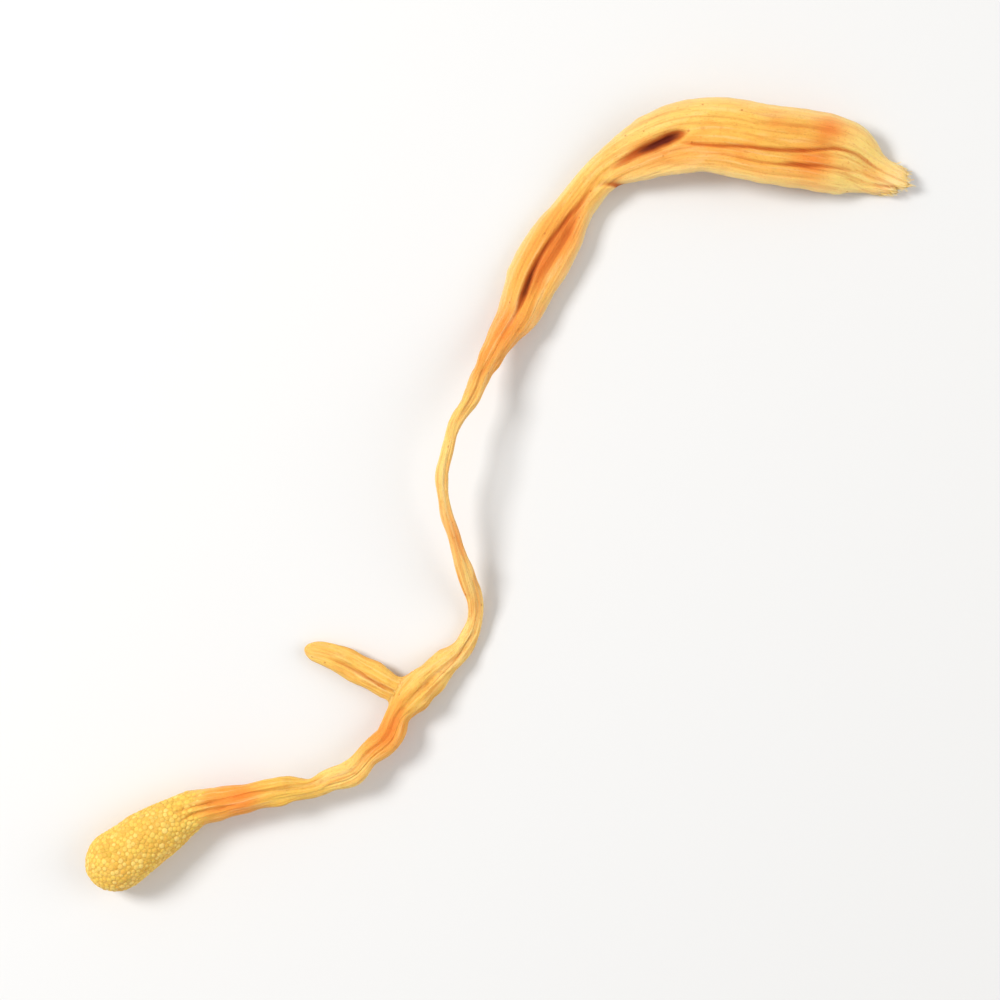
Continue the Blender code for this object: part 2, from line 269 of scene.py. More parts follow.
# Its rings' pitch as grown, the shade painted on the first and the last, and how many loose fibres
# grow.
TEAR_PITCH, TEAR_SHADE, TEAR_FRAY = 0.1, (0.25, 0.8), 0.35


# Curves and noise

def blend(places, values, at):
    """A smooth curve through (place, value) pairs, read at the distances asked for."""
    places, values = np.asarray(places, float), np.asarray(values, float)
    slope = np.gradient(values, places)
    left = np.clip(np.searchsorted(places, at) - 1, 0, len(places) - 2)
    gap = places[left + 1] - places[left]
    t = np.clip((at - places[left]) / gap, 0.0, 1.0)
    start = (1 + 2 * t) * (1 - t) ** 2 * values[left] + t * (1 - t) ** 2 * gap * slope[left]
    finish = t * t * (3 - 2 * t) * values[left + 1] - t * t * (1 - t) * gap * slope[left + 1]
    return start + finish


def along(pairs, at):
    """A column of values, one for each ring."""
    return blend(*zip(*pairs), at)[:, None]


def ramp(value, start, end):
    """Rises smoothly from 0 at start to 1 at end."""
    t = np.clip((value - start) / (end - start), 0, 1)
    return t * t * (3 - 2 * t)


# The noise: the size of its lattice, how far a seed shifts it, and what brings it to about 1.
LATTICE, SEED_STEP, NOISE_GAIN = 256, 7.3, 1.7
DIRECTIONS = np.random.default_rng(11).normal(size=(LATTICE, 3))
DIRECTIONS /= np.linalg.norm(DIRECTIONS, axis=1)[:, None]
SHUFFLE = np.random.default_rng(12).permutation(LATTICE)


def noise(points, cell, seed):
    """Smooth noise, about -1 to 1, whose features are as large as cell along each axis."""
    points = points / np.asarray(cell, float) + SEED_STEP * seed
    corner = np.floor(points).astype(int)
    local = points - corner
    ease = local**3 * (local * (local * 6 - 15) + 10)
    total, last = 0.0, LATTICE - 1
    for step in itertools.product((0, 1), repeat=3):
        x, y, z = np.moveaxis(corner + step, -1, 0)
        picked = SHUFFLE[(SHUFFLE[(SHUFFLE[x & last] + y) & last] + z + seed) & last]
        weight = np.prod(np.where(step, ease, 1 - ease), axis=-1)
        total = total + weight * ((local - step) * DIRECTIONS[picked]).sum(axis=-1)
    return NOISE_GAIN * total


def swells(points, layers):
    """The layers of noise added up."""
    return sum(height * noise(points, cell, seed) for height, cell, seed in layers)


def creases(points, cell, seed, width):
    """1 along the winding lines where the noise crosses zero, falling to 0 beside them."""
    return np.exp(-((noise(points, cell, seed) / width) ** 2))


def broken_creases(points, lines, gaps, fade):
    """Creases that come and go with a second noise."""
    return creases(points, *lines) * ramp(noise(points, *gaps), *fade)


# The form

def distances(stations):
    """How far along the route each station is."""
    plan = np.array([station[:2] for station in stations])
    return np.r_[0.0, np.cumsum(np.hypot(*np.diff(plan, axis=0).T))]


def route(stations, at):
    """Centre, direction to the left, width, thickness and stand-off, as columns."""
    places = distances(stations)
    columns = list(zip(*stations))
    ahead, behind = np.clip(at + LOOK, 0, places[-1]), np.clip(at - LOOK, 0, places[-1])
    forward = [blend(places, c, ahead) - blend(places, c, behind) for c in columns[:2]]
    size = np.hypot(*forward)
    x, y, width, thickness, lift = (blend(places, c, at)[:, None] for c in columns)
    left = (-forward[1] / size)[:, None], (forward[0] / size)[:, None]
    return (x, y), left, width, thickness, lift


def ring_distances(length, cap):
    """Rings close together where the rounded cap turns in, and evenly spaced after it."""
    turns = np.linspace(0, math.pi / 2, CAP_RINGS + 1)[1:]
    even = np.linspace(cap, length, round((length - cap) / RING_PITCH) + 1)[1:]
    return np.r_[cap * (1 - np.cos(turns)), even]


def rounding(at, cap):
    """The share of its full size that each ring has near the rounded tip."""
    return np.sqrt(1 - (1 - np.clip(at / cap, 0, 1)) ** 2)[:, None]


def outline(angle, square):
    """Across and up on a plain section of unit half-width and half-thickness."""
    across = np.cos(angle)
    height = (1 - np.minimum(np.abs(across), 1) ** square) ** (1 / square)
    return across, np.where(np.sin(angle) >= 0, height, -height)


def even_angles(width, thickness, square, count):
    """Angles that space the points of each section evenly round its outline."""
    dense = np.linspace(0, 2 * math.pi, OUTLINE_STEPS + 1)
    across, up = outline(dense[None, :], square)
    steps = np.hypot(np.diff(across * width), np.diff(up * thickness))
    run = np.c_[np.zeros(len(steps)), np.cumsum(steps, axis=1)]
    share = np.arange(count) / count
    return np.array([np.interp(share * row[-1], row, dense) for row in run])


def folded(folds, across, up, at, width, thickness):
    """How high each point is once the folds and their lips are in, and the shade painted on them
    there.
    """
    lost, lips, dark = 0.0, 0.0, 0.0
    for places, depths, fold_half_width, steepness, floor_shade in folds:
        depth = np.interp(at, *zip(*depths))[:, None]
        share = depth / max(value for _, value in depths)
        reach = fold_half_width * (FOLD_END + (1 - FOLD_END) * share)
        off = np.abs(across - along(places, at)) * (width / 2) / reach
        dip = np.exp(-(off**steepness))
        lost = lost + depth * dip
        lips = lips + depth * LIP_SHARE * np.exp(-(((off - LIP_PLACE) / LIP_WIDTH) ** 2))
        dark = dark + floor_shade * dip * share
    share = np.where(up >= 0, 1.0, UNDERSIDE_SHARE)
    rise = up * (1 - share * (lost - lips)) * thickness / 2
    return rise, np.where(up >= 0, 1.0, UNDERSIDE_SHADE) * dark


def pitted(across, at, half_width):
    """How deep in a small pit each point is, from 0 to 1."""
    deep = 0.0
    for place, side, radius in PITS:
        off = np.hypot(at[:, None] - place, (across - side) * half_width) / radius
        deep = deep + np.exp(-(off**2))
    return deep


def relief(grown, half):
    """How far each point stands off the plain form, and the shade painted in its creases, 0 to 1.
    """
    at = grown[..., 0]
    stem, ribbon = ramp(at, *NECK), ramp(at, *RIBBON_START)
    slim = np.clip(half / FULL_RELIEF, 0, 1) * stem
    knobs = swells(grown, KNOBS) * (1 - ribbon)
    bending, straight = (broken_creases(grown, *lines) for lines in (BENDING_LINES, STRAIGHT_LINES))
    long_lines = bending + (straight - bending) * ribbon
    short_lines = creases(grown, *SHORT_LINES)
    cross_lines = broken_creases(grown, *CROSS_LINES) * (1 - RIBBON_FADES * ribbon)
    depth = ((LONG_DEPTH - RIBBON_SHALLOWER * ribbon) * long_lines + SHORT_DEPTH * short_lines
             + CROSS_DEPTH * cross_lines - swells(grown, RIPPLES))
    stands = slim * (swells(grown, GIRTH) + knobs - depth) + (1 - stem) * swells(grown, DENTS)
    # Shade painted down the creases.
    dark = LONG_SHADE * long_lines**2 + SHORT_SHADE * short_lines**2 + CROSS_SHADE * cross_lines**2
    return stands, stem * dark


def normals(points):
    """Outward directions of a grid of points, ring by side."""
    round_it = np.roll(points, -1, axis=1) - np.roll(points, 1, axis=1)
    out = np.cross(round_it, np.gradient(points, axis=0))
    return out / np.maximum(np.linalg.norm(out, axis=-1, keepdims=True), 1e-9)


def laid(points):
    """Turn the plan so that the body runs along +X, and press what would sink flat to the table."""
    c, s = math.cos(LAY_TURN), math.sin(LAY_TURN)
    x = points[..., 0] * c - points[..., 1] * s - PLAN_CENTRE[0]
    y = points[..., 0] * s + points[..., 1] * c - PLAN_CENTRE[1]
    return np.stack([x, y, np.maximum(points[..., 2], 0.0)], axis=-1)


def beside(centre, left, side, height):
    """Points of each section, by how far they are to the left of its centre and how high."""
    return np.stack([centre[0] + side * left[0], centre[1] + side * left[1], height], axis=-1)


def tip_of(station):
    x, y, _, thickness, lift = station
    return np.array([x, y, lift + thickness / 2])


def grown_place(at, across, up, half_width, half_thickness):
    """Where each point sat before the flesh shrank, so that fibres close up where it is narrow."""
    side = across * GROWN_SIDE * half_width**0.5
    rise = up * GROWN_RISE * half_thickness**0.5
    return np.stack([np.broadcast_to(at[:, None], side.shape), side, rise], axis=-1)


def patched(patches, across, at):
    """How much of a patchy colour each point has, from 0 to 1."""
    share = 0.0
    for place, side, reach_along, reach_across, strength in patches:
        off = ((at[:, None] - place) / reach_along) ** 2 + ((across - side) / reach_across) ** 2
        share = share + strength * np.exp(-off)
    return np.minimum(share, 1.0)


def fruiting_body_skin():
    """The body's tip, its grid of points, and the marks on them that its finishes read."""
    at = ring_distances(distances(BODY)[-1], HEAD_CAP)
    centre, left, width, thickness, lift = route(BODY, at)
    square, turn = along(SQUARENESS, at), np.radians(along(TWIST, at))
    across, up = outline(even_angles(width, thickness, square, SIDES), square)
    rise, dark = folded(FOLDS, across, up, at, width, thickness)
    round_off = rounding(at, HEAD_CAP)
    side, rise = across * width / 2 * round_off, rise * round_off
    grown = grown_place(at, across * round_off, up * round_off, width / 2, thickness / 2)

    leaning = side * np.cos(turn) - rise * np.sin(turn)
    height = side * np.sin(turn) + rise * np.cos(turn)
    height = height + lift - height.min(axis=1, keepdims=True) / round_off
    points = beside(centre, left, leaning, height)

    stands, hollow = relief(grown, np.minimum(width, thickness) / 2)
    rim = np.abs(across) ** RIM_POWER * ramp(at, *RIM_START)[:, None]
    pits = pitted(across, at, width / 2) * (up > 0)
    stands = stands + rim * swells(grown, SCALLOPS) - PIT_DEPTH * pits
    plain = points[-1].copy()
    points = points + normals(points) * stands[..., None]
    marks = {
        "grown": grown,
        # Shade painted down the creases, on the floors of the folds and in the pits.
        "hollow": np.clip(hollow + dark + PIT_SHADE * pits, 0, DARKEST_SHADE),
        "rim": rim,
        "along": np.broadcast_to(at[:, None], side.shape),
        "flush": patched(FLUSHES, across, at),
        "pale": patched(PALES, across, at),
        "grainy": 1 - ramp(at[:, None] + swells(grown, GRAINS_SWAY), *GRAINS_END),
        "torn": np.broadcast_to(ramp(at, at[-1] - TEAR_FRAYS, at[-1])[:, None], side.shape),
    }
    return tip_of(BODY[0]), *torn_end(points, plain, marks, across[-1])


def torn_end(points, plain, marks, across):
    """Draw the last rings out into ragged fibres; close the end with a torn recess, shade painted
    in.
    """
    forward = points[-1].mean(axis=0) - points[-TEAR_LOOK].mean(axis=0)
    forward[2] = 0.0
    forward /= np.linalg.norm(forward)
    round_it = np.stack([np.zeros(SIDES), plain[:, 0], plain[:, 2] + plain[:, 1]], axis=-1)
    reach = np.interp(across, *zip(*TEAR)) + TEAR_RAGGED * swells(round_it, TEAR_TEETH)
    at, end = marks["grown"][:, :1, 0], marks["grown"][-1, 0, 0]
    pull = ramp(at, end - TEAR_RUN, end) ** 2
    points = points + (pull * reach)[..., None] * forward

    middle, drawn, inner = plain.mean(axis=0), TEAR_DRAWS * np.clip(reach, *TEAR_LIMITS), []
    for ring in range(1, TEAR_RINGS + 1):
        share = 1 - ring / (TEAR_RINGS + TEAR_LEFT)
        floor = swells(plain * share + ring * TEAR_CHANGE, TEAR_FLOOR)
        back = TEAR_HOLLOW * (1 - share) ** TEAR_SLOPE + floor - drawn * share**TEAR_FADE
        inner.append(middle + (plain - middle) * share - forward * back[:, None])
    marks = {name: np.r_[value, np.repeat(value[-1:], TEAR_RINGS, axis=0)]
             for name, value in marks.items()}
    marks["grown"][-TEAR_RINGS:, :, 0] += TEAR_PITCH * np.arange(1, TEAR_RINGS + 1)[:, None]
    # Shade painted in the torn recess, deeper further in.
    marks["hollow"][-TEAR_RINGS:] = np.linspace(*TEAR_SHADE, TEAR_RINGS)[:, None]
    marks["torn"][-TEAR_RINGS:] = TEAR_FRAY
    return np.r_[points, inner], marks


def side_shoot_skin():
    """The same for the side shoot."""
    at = ring_distances(distances(SHOOT)[-1], SHOOT_CAP)
    centre, left, width, thickness, lift = route(SHOOT, at)
    square = np.full_like(width, SHOOT_SQUARENESS)
    across, up = outline(even_angles(width, thickness, square, SHOOT_SIDES), SHOOT_SQUARENESS)
    rise, dark = folded(SHOOT_FOLDS, across, up, at, width, thickness)
    round_off = rounding(at, SHOOT_CAP)
    side = across * width / 2 * round_off
    to_tip = at[-1] - at
    grown = grown_place(
        SHOOT_FROM + to_tip, across * round_off, up * round_off, width / 2, thickness / 2)
    points = beside(centre, left, side, rise * round_off + lift + thickness / 2)
    stands, hollow = relief(grown, np.minimum(width, thickness) / 2)
    points = points + normals(points) * stands[..., None] * SHOOT_RELIEF
    nothing = np.zeros_like(side)
    marks = {
        "grown": grown,
        # Shade painted down its creases and on the floors of its folds.
        "hollow": hollow * SHOOT_RELIEF + dark,
        "along": nothing + (SHOOT_FROM + SHOOT_STAIN * to_tip)[:, None],
        "pale": nothing + SHOOT_PALE * (1 - ramp(at, 0.0, SHOOT_PALE_REACH))[:, None],
        **dict.fromkeys(("rim", "flush", "grainy", "torn"), nothing),
    }
    return tip_of(SHOOT[0]), points, marks


# Meshes

def placed(name, data):
    """An object that shows the data, unmoved."""
    piece = bpy.data.objects.new(name, data)
    bpy.context.collection.objects.link(piece)
    return piece


def dressed(piece, material):
    """The piece, all in one material."""
    piece.data.materials.clear()
    piece.data.materials.append(material)
    return piece


def worked_out(piece):
    """A plain mesh of the piece as its modifiers leave it."""
    graph = bpy.context.evaluated_depsgraph_get()
    return bpy.data.meshes.new_from_object(piece.evaluated_get(graph))


def points_of(mesh):
    points = np.empty(len(mesh.vertices) * 3)
    mesh.vertices.foreach_get("co", points)
    return points.reshape(-1, 3)


def move_points(mesh, points):
    mesh.vertices.foreach_set("co", points.ravel())
    mesh.update()


def shell(name, tip, grid, marks):
    """A closed mesh object round the grid, its points, and the marks on them."""
    rings, sides = grid.shape[:2]
    flat = np.r_[laid(tip)[None], laid(grid).reshape(-1, 3), laid(grid[-1].mean(axis=0))[None]]
    first = 1 + np.arange(rings * sides).reshape(rings, sides)
    near, far = first[:-1], first[1:]
    quads = np.stack([near, np.roll(near, -1, axis=1), np.roll(far, -1, axis=1), far], axis=-1)
    start, end = first[0], first[-1]
    fans = np.r_[np.c_[np.zeros_like(start), np.roll(start, -1), start],
                 np.c_[np.full_like(end, len(flat) - 1), end, np.roll(end, -1)]]
    mesh = bpy.data.meshes.new(name)
    mesh.from_pydata((flat * MM).tolist(), [], quads.reshape(-1, 4).tolist() + fans.tolist())
    marks = {k: np.r_[v[:1, 0], v.reshape(-1, *v.shape[2:]), v[-1:, 0]] for k, v in marks.items()}
    return placed(name, mesh), flat, marks


def fuse(body, shoot):
    """Grow the side shoot and the body together, and ease the seam between them."""
    (piece, flat, marks), (limb, limb_flat, limb_marks) = body, shoot
    union = piece.modifiers.new("grown_together", "BOOLEAN")
    union.operation, union.solver, union.object = "UNION", "MANIFOLD", limb
    mesh = worked_out(piece)
    piece.modifiers.clear()
    bpy.data.objects.remove(limb)
    points = points_of(mesh) / MM
    found = np.array([[tree.find(Vector(p))[1:] for p in points]
                      for tree in (tree_of(flat), tree_of(limb_flat))])
    index, far = found[..., 0].astype(int), found[..., 1]
    on_limb = far[1] < far[0]
    for name, own in marks.items():
        pick = on_limb.reshape(-1, *[1] * (own.ndim - 1))
        store(mesh, name, np.where(pick, limb_marks[name][index[1]], own[index[0]]))
    ease(mesh, points, (far < SEAM_REACH).all(axis=0))
    piece.data = mesh
    mesh.shade_smooth()
    return piece


def tree_of(points):
    tree = KDTree(len(points))
    for i, point in enumerate(points):
        tree.insert(Vector(point), i)
    tree.balance()
    return tree


def ease(mesh, points, seam):
    """Let the points of the seam settle between their neighbours."""
    edges = np.empty(len(mesh.edges) * 2, int)
    mesh.edges.foreach_get("vertices", edges)
    a, b = edges.reshape(-1, 2).T
    count = np.maximum(np.bincount(np.r_[a, b], minlength=len(points)), 1)[:, None]
    for _ in range(SEAM_ROUNDS):
        total = np.zeros_like(points)
        np.add.at(total, a, points[b])
        np.add.at(total, b, points[a])
        points[seam] += 0.5 * (total / count - points)[seam]
    move_points(mesh, points * MM)


def store(mesh, name, values):
    """Keep a mark on the mesh: a number or a vector for each point."""
    kind, field = ("FLOAT_VECTOR", "vector") if values.ndim == 2 else ("FLOAT", "value")
    mark = mesh.attributes.new(name, kind, "POINT")
    mark.data.foreach_set(field, values.astype(np.float32).ravel())


# Building node trees

def new_tree(name, takes, gives, kind="ShaderNodeTree"):
    """A node group, from the names of its inputs and of its outputs, by type."""
    tree = bpy.data.node_groups.new(name, kind)
    for way, sockets in (("INPUT", takes), ("OUTPUT", gives)):
        for socket, labels in sockets.items():
            for label in labels:
                tree.interface.new_socket(name=label, in_out=way, socket_type="NodeSocket" + socket)
    return tree, tree.nodes.new("NodeGroupInput").outputs, tree.nodes.new("NodeGroupOutput").inputs


def wire(tree, sockets, values):
    """Give sockets their values or links."""
    for key, value in values.items():
        if isinstance(value, bpy.types.NodeSocket):
            tree.links.new(value, sockets[key])
        else:
            sockets[key].default_value = value


def put(tree, kind, sockets=None, **settings):
    """Add a node."""
    node = tree.nodes.new(kind)
    for name, value in settings.items():
        setattr(node, name, value)
    wire(tree, node.inputs, sockets or {})
    return node


def result(tree, kind, sockets=None, **settings):
    """Add a node, for what it puts out first."""
    return put(tree, kind, sockets, **settings).outputs[0]


def group(tree, inner, sockets):
    return put(tree, "ShaderNodeGroup", sockets, node_tree=inner).outputs


def maths(tree, operation, *values):
    return result(tree, "ShaderNodeMath", dict(enumerate(values)), operation=operation)


def times(tree, *values):
    return maths(tree, "MULTIPLY", *values)


def plus(tree, *values):
    return maths(tree, "ADD", *values)


def vectors(tree, operation, *values):
    return result(tree, "ShaderNodeVectorMath", dict(enumerate(values)), operation=operation)


def scaled(tree, vector, by):
    return result(tree, "ShaderNodeVectorMath", {0: vector, 3: by}, operation="SCALE")


def xyz(tree, x, y, z):
    return result(tree, "ShaderNodeCombineXYZ", {0: x, 1: y, 2: z})


def ranged(tree, value, low, high, to_low=0.0, to_high=1.0, how="SMOOTHSTEP"):
    return result(tree, "ShaderNodeMapRange", {
        "Value": value, "From Min": low, "From Max": high, "To Min": to_low, "To Max": to_high},
        interpolation_type=how)


def cloudy(tree, vector, detail, roughness):
    return result(tree, "ShaderNodeTexNoise", {
        "Vector": vector, "Scale": 1.0, "Detail": detail, "Roughness": roughness})


def tinted(tree, colour, tint, share, strength=1.0):
    """The colour with a tint over it where the share says so."""
    share = share if strength == 1.0 else times(tree, share, strength)
    return put(tree, "ShaderNodeMix", {0: share, 6: colour, 7: tint}, data_type="RGBA").outputs[2]


# Finishes

def tone(red, green, blue):
    """A linear colour from its 0 to 255 screen values."""
    linear = [c / 255 / 12.92 if c <= 10 else ((c / 255 + 0.055) / 1.055) ** 2.4
              for c in (red, green, blue)]
    return (*linear, 1.0)


GOLD = tone(248, 200, 88)
HONEY = tone(244, 176, 74)
PALE = tone(254, 211, 122)
LEMON = tone(255, 217, 122)
PEACH = tone(255, 205, 118)
TAWNY = tone(246, 170, 78)
SAND = tone(248, 196, 90)
FAWN = tone(252, 203, 108)
AMBER = tone(243, 152, 56)
EMBER = tone(250, 134, 44)
CREAM = tone(253, 222, 158)
OCHRE = tone(230, 174, 70)
BARK = tone(214, 124, 42)
OLIVE = tone(198, 154, 48)
# Rust marks the grains' pores and the specks, and is also the first colour of shade painted down
# creases.
RUST = tone(190, 88, 20)
# The nearly black of the shade painted deep in the slit and the folds.
DEEP_SHADE = tone(104, 26, 2)

# The flesh's colour along the body, by distance from the club's tip.
COLOUR_ALONG = (
    (0, GOLD), (6.5, GOLD), (9, HONEY), (12, GOLD), (15, SAND), (17, LEMON), (19.5, HONEY),
    (23.5, SAND), (26.3, FAWN), (28.5, PALE), (30.2, PEACH), (40.5, PEACH), (43.5, FAWN),
    (46, TAWNY), (48.8, TAWNY), (51, HONEY), (55.5, HONEY), (58.5, SAND), (61, FAWN), (67, SAND),
    (71, SAND), (73.5, HONEY), (75.5, LEMON), (77.3, PALE), (78.5, CREAM),
)
COLOUR_SPAN = 80.0
# Soft patches of other colours: the colour, where in the cloud they lie, their size along and
# across, how much they cover and how strong they are.
FLESH_PATCHES = (
    (AMBER, (0, 0, 0), (2.6, 1.1, 1.1), 0.5, 0.45),
    (CREAM, (31, 5, 9), (3.4, 0.7, 0.7), 0.42, 0.32),
    (OCHRE, (7, 15, 3), (0.65, 0.4, 0.4), 0.42, 0.5),
)
GRAIN_PATCHES = (
    (PALE, (0, 0, 0), (1.6, 1.3, 1.3), 0.5, 0.5),
    (OLIVE, (9, 3, 6), (0.6, 0.5, 0.5), 0.38, 0.62),
    (AMBER, (4, 8, 2), (1.8, 1.2, 1.2), 0.42, 0.3),
)
FIBRE_PATCHES = ((HONEY, (0, 0, 0), (0.5, 0.5, 0.5), 0.5, 0.6),)
# What tints a grain: the colour, the mark that it goes by, where it starts and is full, and how
# strong it is. By its shade a grain is darker or paler as a whole, at random. The ochre low on a
# grain, by its rise, is shade painted at its foot.
GRAIN_TINTS = (
    (OCHRE, "shade", 0.35, 0.0, 0.75), (LEMON, "shade", 0.62, 1.0, 0.75),
    (OCHRE, "rise", 0.8, 0.4, 0.75), (RUST, "rise", 0.95, 1.0, 0.3),
)
# How rough the flesh is before its creases and fibres add to that, and the range of the rest.
FLESH_ROUGHNESS, ROUGHNESS = 0.48, (0.56, 0.74)


def lengthwise_fibres():
    """Fine fibres that run along the flesh: their height, and where they are darker or paler."""
    tree, takes, gives = new_tree("lengthwise_fibres", {
        "Vector": ["Grown"], "Float": ["Spacing", "Length"]}, {"Float": ["Height", "Dark", "Pale"]})
    cell = xyz(tree, takes["Length"], takes["Spacing"], takes["Spacing"])
    place = vectors(tree, "DIVIDE", takes["Grown"], cell)
    fine = cloudy(tree, place, 3.0, 0.6)
    wide = cloudy(tree, vectors(tree, "MULTIPLY", place, (0.6, 0.4, 0.4)), 1.0, 0.5)
    both = plus(tree, times(tree, fine, 0.5), times(tree, wide, 0.5))
    wire(tree, gives, {"Height": fine, "Dark": ranged(tree, both, 0.5, 0.36),
                       "Pale": ranged(tree, both, 0.53, 0.64)})
    return tree


def fine_pores():
    """Pores and pimples finer than the fibres: their height, and the pores as a mask."""
    tree, takes, gives = new_tree("fine_pores", {
        "Vector": ["Grown", "Size"]}, {"Float": ["Height", "Pores"]})
    cloud = cloudy(tree, vectors(tree, "DIVIDE", takes["Grown"], takes["Size"]), 3.0, 0.65)
    wire(tree, gives, {"Height": cloud, "Pores": ranged(tree, cloud, 0.44, 0.3)})
    return tree


def patchy_tint():
    """Lays a second colour over the first in soft patches of the given size."""
    tree, takes, gives = new_tree("patchy_tint", {
        "Color": ["Colour", "Patch Colour"], "Vector": ["Grown", "Patch Size"],
        "Float": ["Cover", "Strength"]}, {"Color": ["Colour"]})
    place = vectors(tree, "DIVIDE", takes["Grown"], takes["Patch Size"])
    low = maths(tree, "SUBTRACT", 0.75, times(tree, takes["Cover"], 0.5))
    share = ranged(tree, cloudy(tree, place, 2.0, 0.55), low, plus(tree, low, 0.16))
    share = times(tree, share, takes["Strength"])
    wire(tree, gives, {"Colour": tinted(tree, takes["Colour"], takes["Patch Colour"], share)})
    return tree


def crease_shade():
    """Paints shade down the creases of the flesh: rust-coloured at first, then nearly brown."""
    tree, takes, gives = new_tree("crease_shade", {
        "Color": ["Colour", "Crease Shade Colour", "Deep Shade Colour"], "Float": ["Painted Shade"]},
        {"Color": ["Colour"], "Float": ["Depth"]})
    first = times(tree, ranged(tree, takes["Painted Shade"], 0.05, 1.1), 0.9)
    then = ranged(tree, takes["Painted Shade"], 1.0, 1.9)
    colour = tinted(tree, takes["Colour"], takes["Crease Shade Colour"], first)
    colour = tinted(tree, colour, takes["Deep Shade Colour"], then)
    wire(tree, gives, {"Colour": colour, "Depth": first})
    return tree


def dry_specks():
    """Tiny scattered specks, as a mask."""
    tree, takes, gives = new_tree("dry_specks", {
        "Vector": ["Grown"], "Float": ["Spacing", "Size"]}, {"Float": ["Specks"]})
    place = scaled(tree, takes["Grown"], maths(tree, "DIVIDE", 1.0, takes["Spacing"]))
    cells = put(tree, "ShaderNodeTexVoronoi", {"Vector": place, "Scale": 1.0}).outputs
    dot = ranged(tree, cells["Distance"], times(tree, takes["Size"], 1.5), takes["Size"])
    chance = result(tree, "ShaderNodeSeparateColor", {0: cells["Color"]})
    wire(tree, gives, {"Specks": times(tree, dot, ranged(tree, chance, 0.45, 0.6))})
    return tree


FIBRES, PORES, PATCHES = lengthwise_fibres(), fine_pores(), patchy_tint()
CREASES, SPECKS = crease_shade(), dry_specks()


def mark(tree, name, output="Fac"):
    return put(tree, "ShaderNodeAttribute", attribute_name=name).outputs[output]


def bump(tree, height, strength, depth):
    return result(tree, "ShaderNodeBump", {
        "Height": height, "Strength": strength, "Distance": depth})


def mottled(tree, colour, grown, patches):
    """The colour with soft patches of others over it."""
    for tint, shift, size, cover, strength in patches:
        colour = group(tree, PATCHES, {
            "Colour": colour, "Patch Colour": tint, "Grown": vectors(tree, "ADD", grown, shift),
            "Patch Size": size, "Cover": cover, "Strength": strength})["Colour"]
    return colour


def colour_along(tree, distance):
    """The flesh's colour at each distance from the club's tip."""
    node = put(tree, "ShaderNodeValToRGB", {0: maths(tree, "DIVIDE", distance, COLOUR_SPAN)})
    stops = node.color_ramp.elements
    for stop, (place, colour) in zip(stops, (COLOUR_ALONG[0], COLOUR_ALONG[-1])):
        stop.position, stop.color = place / COLOUR_SPAN, colour
    for place, colour in COLOUR_ALONG[1:-1]:
        stops.new(place / COLOUR_SPAN).color = colour
    return node.outputs[0]


def new_material(name, values):
    """A material, its nodes, and the sockets of its Principled shader, set to these values."""
    material = bpy.data.materials.new(name)
    material.use_nodes = True
    shader = material.node_tree.nodes["Principled BSDF"].inputs
    wire(material.node_tree, shader, values)
    return material, material.node_tree, shader


def flesh(name, subsurface=0.22, specular=0.28):
    """Dried flesh, ready for its colour, roughness and normal."""
    return new_material(name, {
        "Subsurface Weight": subsurface, "Subsurface Radius": (1.0, 0.42, 0.14),
        "Subsurface Scale": 0.25 * MM, "Specular IOR Level": specular, "Sheen Weight": 0.05,
        "Sheen Roughness": 0.45})


def wrinkled_flesh():
    """The skin of the stem and ribbon, and the flesh between the grains of the head."""
    material, tree, shader = flesh("wrinkled_flesh")
    grown = mark(tree, "grown", "Vector")
    hollow, rim, grainy, flush, pale, distance = (
        mark(tree, name) for name in ("hollow", "rim", "grainy", "flush", "pale", "along"))
    fibres = group(tree, FIBRES, {"Grown": grown, "Spacing": 0.16, "Length": 4.5})
    pores = group(tree, PORES, {"Grown": grown, "Size": (0.17, 0.1, 0.1)})
    specks = group(tree, SPECKS, {"Grown": grown, "Spacing": 0.9, "Size": 0.07})
    smooth = maths(tree, "SUBTRACT", 1.0, grainy)
    dark, light = (times(tree, fibres[name], smooth) for name in ("Dark", "Pale"))
    colour = mottled(tree, colour_along(tree, distance), grown, FLESH_PATCHES)
    # Ochre where the flesh is grainy is shade painted in the gaps between the grains.
    # The cream on the rim is partly the edge's own paler colour and partly painted light that lifts
    # the shaded lower edge.
    for tint, share, strength in (
            (LEMON, pale, 1.0), (EMBER, flush, 1.0), (BARK, dark, 0.38), (CREAM, light, 0.32),
            (BARK, pores["Pores"], 0.45), (CREAM, rim, 0.75), (OCHRE, grainy, 0.6)):
        colour = tinted(tree, colour, tint, share, strength)
    # Shade painted down the creases and on the floors of the folds, rust and then nearly black.
    creased = group(tree, CREASES, {
        "Colour": colour, "Painted Shade": hollow, "Crease Shade Colour": RUST, "Deep Shade Colour": DEEP_SHADE})
    rough = plus(tree, times(tree, creased["Depth"], 0.2), times(tree, fibres["Height"], 0.22))
    height = plus(tree, times(tree, fibres["Height"], 0.7), times(tree, pores["Height"], 0.45))
    wire(tree, shader, {
        "Base Color": tinted(tree, creased["Colour"], RUST, specks["Specks"], 0.5),
        "Roughness": plus(tree, rough, FLESH_ROUGHNESS),
        "Normal": bump(tree, height, 0.85, 0.12 * MM)})
    return material


